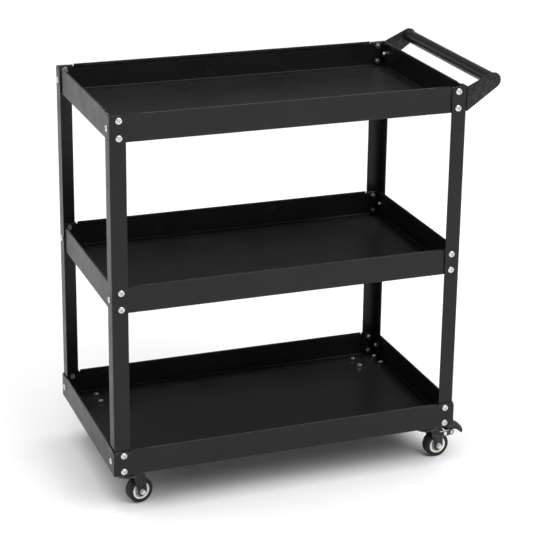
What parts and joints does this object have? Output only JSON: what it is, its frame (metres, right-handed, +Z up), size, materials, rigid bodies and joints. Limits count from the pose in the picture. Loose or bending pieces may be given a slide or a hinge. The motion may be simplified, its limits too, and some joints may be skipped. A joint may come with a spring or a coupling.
{
  "type": "tool cart",
  "caption": "Rolling service cart in black sheet steel: deep open trays bolted between angle posts, a bar handle at one end, and swivel casters, the handle-side ones with foot brakes.",
  "frame": {"origin": "on the floor, at the bottom centre of the whole cart's box", "axes": "+X along the cart towards the handle end, -Y the front (a long side), +Z up"},
  "size_m": [0.7648, 0.3966, 0.7988],
  "materials": {
    "powder_coat": "satin black powder coat on sheet steel",
    "caster_steel": "satin black coated stamped steel",
    "zinc": "bright zinc plate",
    "rubber": "matt black rubber",
    "hub_plastic": "cream moulded plastic",
    "pedal_plastic": "black moulded plastic, lightly grained"
  },
  "bodies": {
    "frame": {"tray_top": "powder_coat", "tray_middle": "powder_coat", "tray_bottom": "powder_coat", "post_fl": "powder_coat", "post_fr": "powder_coat", "post_rl": "powder_coat", "post_rr": "powder_coat", "handle_bracket_front": "powder_coat", "handle_bracket_rear": "powder_coat", "handle_tube": "powder_coat", "bolts_top_fl": "zinc", "bolts_top_fr": "zinc", "bolts_top_rl": "zinc", "bolts_top_rr": "zinc", "bolts_middle_fl": "zinc", "bolts_middle_fr": "zinc", "bolts_middle_rl": "zinc", "bolts_middle_rr": "zinc", "bolts_bottom_fl": "zinc", "bolts_bottom_fr": "zinc", "bolts_bottom_rl": "zinc", "bolts_bottom_rr": "zinc", "caster_plate_fl": "caster_steel", "caster_kingpin_fl": "zinc", "bolts_caster_fl": "zinc", "caster_plate_fr": "caster_steel", "caster_kingpin_fr": "zinc", "bolts_caster_fr": "zinc", "caster_plate_rl": "caster_steel", "caster_kingpin_rl": "zinc", "bolts_caster_rl": "zinc", "caster_plate_rr": "caster_steel", "caster_kingpin_rr": "zinc", "bolts_caster_rr": "zinc"},
    "swivel_fl": {"caster_fork_fl": "caster_steel", "caster_axle_fl": "zinc", "caster_ball_ring_fl": "zinc"},
    "wheel_fl": {"caster_hub_fl": "hub_plastic", "caster_tyre_fl": "rubber"},
    "swivel_fr": {"caster_fork_fr": "caster_steel", "caster_axle_fr": "zinc", "caster_ball_ring_fr": "zinc", "brake_pivot_fr": "zinc"},
    "wheel_fr": {"caster_hub_fr": "hub_plastic", "caster_tyre_fr": "rubber"},
    "brake_fr": {"brake_lever_fr": "zinc", "brake_pedal_fr": "pedal_plastic"},
    "swivel_rl": {"caster_fork_rl": "caster_steel", "caster_axle_rl": "zinc", "caster_ball_ring_rl": "zinc"},
    "wheel_rl": {"caster_hub_rl": "hub_plastic", "caster_tyre_rl": "rubber"},
    "swivel_rr": {"caster_fork_rr": "caster_steel", "caster_axle_rr": "zinc", "caster_ball_ring_rr": "zinc", "brake_pivot_rr": "zinc"},
    "wheel_rr": {"caster_hub_rr": "hub_plastic", "caster_tyre_rr": "rubber"},
    "brake_rr": {"brake_lever_rr": "zinc", "brake_pedal_rr": "pedal_plastic"}
  },
  "joints": [
    {"name": "swivel_fl", "type": "hinge", "parent": "frame", "child": "swivel_fl", "pos_m": [-0.3411, -0.15, 0.07], "axis": [0, 0, 1], "continuous": true},
    {"name": "roll_fl", "type": "hinge", "parent": "swivel_fl", "child": "wheel_fl", "pos_m": [-0.31762, -0.14501, 0.025], "axis": [0.2079, -0.9781, 0], "continuous": true},
    {"name": "swivel_fr", "type": "hinge", "parent": "frame", "child": "swivel_fr", "pos_m": [0.2769, -0.15, 0.07], "axis": [0, 0, 1], "continuous": true},
    {"name": "roll_fr", "type": "hinge", "parent": "swivel_fr", "child": "wheel_fr", "pos_m": [0.30084, -0.14833, 0.025], "axis": [0.0698, -0.9976, 0], "continuous": true},
    {"name": "brake_fr", "type": "hinge", "parent": "swivel_fr", "child": "brake_fr", "pos_m": [0.31331, -0.14745, 0.051], "axis": [-0.0698, 0.9976, 0], "range_deg": [0, 9]},
    {"name": "swivel_rl", "type": "hinge", "parent": "frame", "child": "swivel_rl", "pos_m": [-0.3411, 0.15, 0.07], "axis": [0, 0, 1], "continuous": true},
    {"name": "roll_rl", "type": "hinge", "parent": "swivel_rl", "child": "wheel_rl", "pos_m": [-0.31723, 0.15251, 0.025], "axis": [0.1045, -0.9945, 0], "continuous": true},
    {"name": "swivel_rr", "type": "hinge", "parent": "frame", "child": "swivel_rr", "pos_m": [0.2769, 0.15, 0.07], "axis": [0, 0, 1], "continuous": true},
    {"name": "roll_rr", "type": "hinge", "parent": "swivel_rr", "child": "wheel_rr", "pos_m": [0.30081, 0.14791, 0.025], "axis": [-0.0872, -0.9962, 0], "continuous": true},
    {"name": "brake_rr", "type": "hinge", "parent": "swivel_rr", "child": "brake_rr", "pos_m": [0.31326, 0.14682, 0.051], "axis": [0.0872, 0.9962, 0], "range_deg": [0, 9]}
  ]
}
